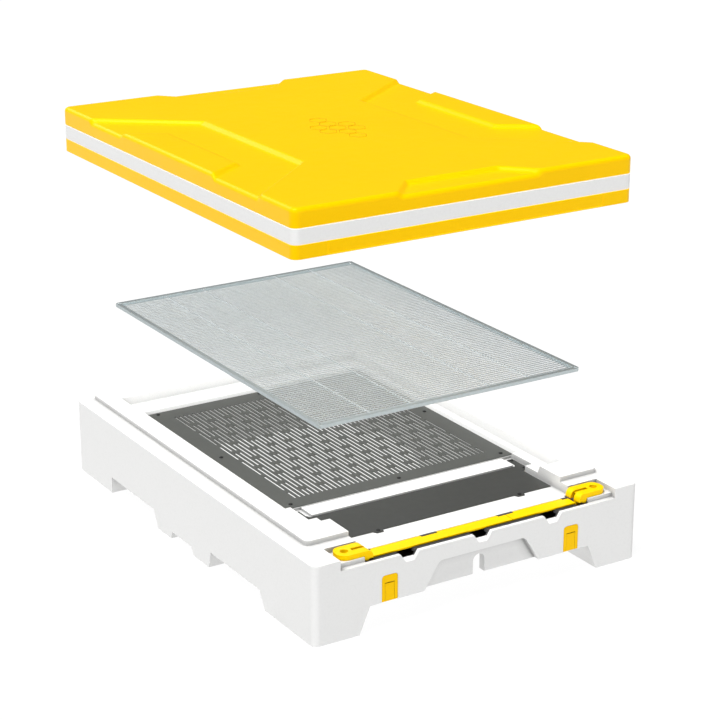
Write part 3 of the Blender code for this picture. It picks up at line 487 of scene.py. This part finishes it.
def make_cap():
    """The yellow shell of the roof with its raised relief."""
    shape = bmesh.new()
    rows = []
    for points, heights in cap_rings():
        rows.append([shape.verts.new((x, y, z)) for (x, y), z in zip(points, heights)])
    count = len(rows[0])
    for outer, inner in zip(rows, rows[1:]):
        for index in range(count):
            after = (index + 1) % count
            shape.faces.new((outer[index], outer[after], inner[after], inner[index]))
    shape.faces.new(list(reversed(rows[0])))
    bmesh.ops.remove_doubles(shape, verts=shape.verts, dist=0.02 * MM)
    bmesh.ops.recalc_face_normals(shape, faces=shape.faces)
    mesh = bpy.data.meshes.new("roof_shell")
    shape.to_mesh(mesh)
    shape.free()
    mesh.shade_smooth()
    mesh.set_sharp_from_angle(angle=SHARP_ANGLE)
    shell = object_from("roof_shell", mesh)
    flatten(shell)
    return stand_for(shell, YELLOW, "yellow_plastic", "roof_cap")


# ---------------------------------------------------------------- emblem


def make_emblem():
    """A plain honeycomb of moulded lines in the middle of the roof, coloured darker yellow as painted shade
    of engraved grooves.
    """
    curve = bpy.data.curves.new("roof_emblem", "CURVE")
    curve.dimensions = "3D"
    curve.bevel_depth = 0.55 * MM
    curve.bevel_resolution = 1
    cell = 15 * MM
    outline = 0.86 * cell
    step = cell * math.sqrt(3)
    centre = Vector((8 * MM, 25 * MM))
    cells = [(0, 0), (1, 0), (-1, 0), (0.5, 1), (-0.5, 1), (0.5, -1), (-0.5, -1), (2, 0), (-2, 0)]
    for column, row in cells:
        middle = centre + Vector((row * cell * 1.5, column * step))
        spline = curve.splines.new("POLY")
        spline.points.add(5)
        for index, point in enumerate(spline.points):
            angle = math.pi / 3 * index
            x = middle.x + outline * math.cos(angle)
            y = middle.y + outline * math.sin(angle)
            point.co = (x, y, CAP_HIGH.z, 1.0)
        spline.use_cyclic_u = True
    made = object_from("roof_emblem", curve)
    # The darker yellow paints the shade of engraved grooves onto the raised lines.
    curve.materials.append(EMBLEM_GROOVE_SHADE)
    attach(made, "roof")


# ---------------------------------------------------------------- excluder

WIRE_R = 1.05 * MM
WIRE_INSET = 1.1 * MM
WIRE_PITCH = 6.3 * MM


def tube(shape, start, end, radius, sides=10):
    """Add a closed cylinder between two points to a bmesh."""
    start, end = Vector(start), Vector(end)
    turn = (end - start).to_track_quat("Z", "Y").to_matrix().to_4x4()
    bmesh.ops.create_cone(
        shape, cap_ends=True, segments=sides, radius1=radius, radius2=radius,
        depth=(end - start).length, matrix=Matrix.Translation((start + end) / 2) @ turn,
    )


def make_wires():
    """The grid of parallel wires, and the cross rods that hold them apart."""
    box_low, box_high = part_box("excluder_wires")
    span = box_high.y - box_low.y - 2 * WIRE_INSET
    count = round(span / WIRE_PITCH)
    pitch = span / count
    middle = (box_low.z + box_high.z) / 2
    shape = bmesh.new()
    for index in range(1, count):
        y = box_low.y + WIRE_INSET + index * pitch
        tube(shape, (box_low.x, y, middle), (box_high.x, y, middle), WIRE_R)
    mesh = bpy.data.meshes.new("wire_grid")
    shape.to_mesh(mesh)
    shape.free()
    mesh.shade_smooth()
    mesh.set_sharp_from_angle(angle=SHARP_ANGLE)
    stand_for(object_from("wire_grid", mesh), WIRE, "galvanised_steel", "excluder_wires")
    for index in range(1, 5):
        node = f"excluder_cross_rod_{index}"
        piece = refined(node, f"cross_wire_{index}", 0.5 * MM, 3)
        stand_for(piece, CROSS_WIRE, "galvanised_steel", node)


def make_excluder():
    """The queen excluder: four folded rails round the wires."""
    for side in ("front", "right", "back", "left"):
        piece = refined(f"excluder_{side}_rail", f"{side}_rail", 0.7 * MM, 3)
        stand_for(piece, ZINC, "galvanised_steel", f"excluder_{side}_rail")
    make_wires()


# ---------------------------------------------------------------- other pieces


def refine(node, name, surface, slot, width, segments=2):
    """Put a copy of a CAD node with rounded edges in its place."""
    stand_for(refined(node, name, width, segments), surface, slot, node)


def make_refined_pieces():
    """Pieces whose CAD shape is right and only needs rounded edges."""
    refine("base_body", "base_foam", FOAM, "white_foam", 1.4 * MM, 3)
    refine("roof_core", "roof_foam", BAND, "white_foam", 0.8 * MM)
    refine("roof_skirt", "roof_rim", YELLOW, "yellow_plastic", 0.7 * MM)
    refine("roof_front_panel", "roof_panel", YELLOW, "yellow_plastic", 0.5 * MM)
    refine("front_plate", "floor_plate", DARK, "dark_plastic", 0.4 * MM)
    refine("entrance_frame", "entrance_tray", BLACK, "black_plastic", 0.4 * MM)
    for side in ("left", "right"):
        refine(f"{side}_gate", f"{side}_flap", LEMON, "yellow_plastic", 0.4 * MM)
        refine(f"{side}_lever", f"{side}_cam_lever", LEMON, "yellow_plastic", 1.3 * MM, 3)
        refine(f"{side}_lever_bracket", f"{side}_post", LEMON, "yellow_plastic", 0.4 * MM)
        refine(f"{side}_clip", f"{side}_insert", YELLOW, "yellow_plastic", 0.4 * MM)
        refine(f"{side}_clip_tab", f"{side}_insert_flap", YELLOW, "yellow_plastic", 0.4 * MM)


def dress(node, surface):
    """Give a CAD node that stays its material."""
    data = frame["nodes"][node].data
    data.materials.clear()
    data.materials.append(surface)


def dress_nodes():
    """The CAD nodes that need no other shape: the grille, the screws and the pins."""
    dress("vent_grille", GREY)
    for index in range(1, 9):
        dress(f"grille_screw_{index}", SCREW)
    for index in range(1, 7):
        dress(f"plate_screw_{index}", SCREW)
    for side in ("left", "right"):
        for pin in ("gate_pin", "lever_pin", "clip_pin"):
            dress(f"{side}_{pin}", ZINC)


# ---------------------------------------------------------------- studio

CAMERA_AT = Vector((-1.4176, -2.3222, 1.1894))
CAMERA_AZIMUTH = math.radians(-31.906)
CAMERA_ELEVATION = math.radians(19.463)
FOCAL_LENGTH = 103.3
FLOOR_HALF = 40.0
FLOOR_DROP = 0.5 * MM
SUN_SPREAD = 30.0


def direction(azimuth, elevation):
    """The unit vector from the object towards a place at that azimuth and elevation."""
    level = math.cos(elevation)
    return Vector((math.sin(azimuth) * level, -math.cos(azimuth) * level, math.sin(elevation)))


def make_camera():
    """A long lens that looks down on the front left corner."""
    data = bpy.data.cameras.new("camera")
    data.lens = FOCAL_LENGTH
    data.sensor_width = 36.0
    data.clip_start = 0.05
    data.clip_end = 200.0
    made = object_from("camera", data)
    made.location = CAMERA_AT
    back = direction(CAMERA_AZIMUTH, CAMERA_ELEVATION)
    made.rotation_mode = "QUATERNION"
    made.rotation_quaternion = (-back).to_track_quat("-Z", "Y")
    bpy.context.scene.camera = made


def make_sun(name, azimuth, elevation, strength):
    """A broad far light from the given side, in degrees."""
    data = bpy.data.lights.new(name, "SUN")
    data.energy = strength
    data.angle = math.radians(SUN_SPREAD)
    made = object_from(name, data)
    toward = direction(math.radians(azimuth), math.radians(elevation))
    made.rotation_mode = "QUATERNION"
    made.rotation_quaternion = (-toward).to_track_quat("-Z", "Y")


def make_softbox(name, toward, distance, size, power):
    """A rectangular lamp that faces the middle of the object."""
    data = bpy.data.lights.new(name, "AREA")
    data.shape = "RECTANGLE"
    data.size, data.size_y = size
    data.energy = power
    made = object_from(name, data)
    centre = (CAD_BOX[0] + CAD_BOX[1]) / 2
    made.location = centre + toward.normalized() * distance
    made.rotation_mode = "QUATERNION"
    made.rotation_quaternion = (-toward).to_track_quat("-Z", "Y")


def make_floor():
    """A plain pale light table, so that no hard shadow lies under the object."""
    mesh = bpy.data.meshes.new("floor")
    shape = bmesh.new()
    bmesh.ops.create_grid(shape, x_segments=1, y_segments=1, size=FLOOR_HALF)
    shape.to_mesh(mesh)
    shape.free()
    made = object_from("floor", mesh)
    made.location.z = -FLOOR_DROP
    surface = bpy.data.materials.new("light_table")
    surface.use_nodes = True
    shader = surface.node_tree.nodes["Principled BSDF"]
    shader.inputs["Base Color"].default_value = (0.06, 0.06, 0.06, 1.0)
    shader.inputs["Roughness"].default_value = 0.9
    shader.inputs["Specular IOR Level"].default_value = 0.0
    shader.inputs["Emission Color"].default_value = STUDIO_WHITE
    shader.inputs["Emission Strength"].default_value = 0.96
    mesh.materials.append(surface)
    made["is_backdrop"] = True


def make_backdrop():
    """A white backdrop, whose light on the object is weak."""
    world = bpy.data.worlds.new("studio")
    bpy.context.scene.world = world
    world.use_nodes = True
    tree = world.node_tree
    background = tree.nodes["Background"]
    background.inputs["Color"].default_value = STUDIO_WHITE
    path = tree.nodes.new("ShaderNodeLightPath")
    strength = tree.nodes.new("ShaderNodeMapRange")
    strength.inputs["To Min"].default_value = 0.08
    strength.inputs["To Max"].default_value = 1.0
    tree.links.new(path.outputs["Is Camera Ray"], strength.inputs["Value"])
    tree.links.new(strength.outputs["Result"], background.inputs["Strength"])


def make_studio():
    """The backdrop, a key light from the left, a weak fill at the front and a rim light behind."""
    make_backdrop()
    make_sun("key", azimuth=-80.0, elevation=67.5, strength=4.3)
    make_sun("front_fill", azimuth=10.0, elevation=4.0, strength=1.5)
    make_softbox("rim", toward=Vector((-0.2, 0.8, 0.55)), distance=3.0, size=(1.6, 1.2), power=12.0)
    bpy.context.scene.view_settings.view_transform = "Standard"


def lift_shadows():
    """The roof and the excluder hang in the light and throw no shadow on what is below."""
    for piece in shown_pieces():
        if body_of(piece) in (["roof"], ["excluder"]):
            piece.visible_shadow = False


make_cap()
make_emblem()
make_excluder()
make_refined_pieces()
dress_nodes()
make_floor()
make_studio()
make_camera()
lift_shadows()
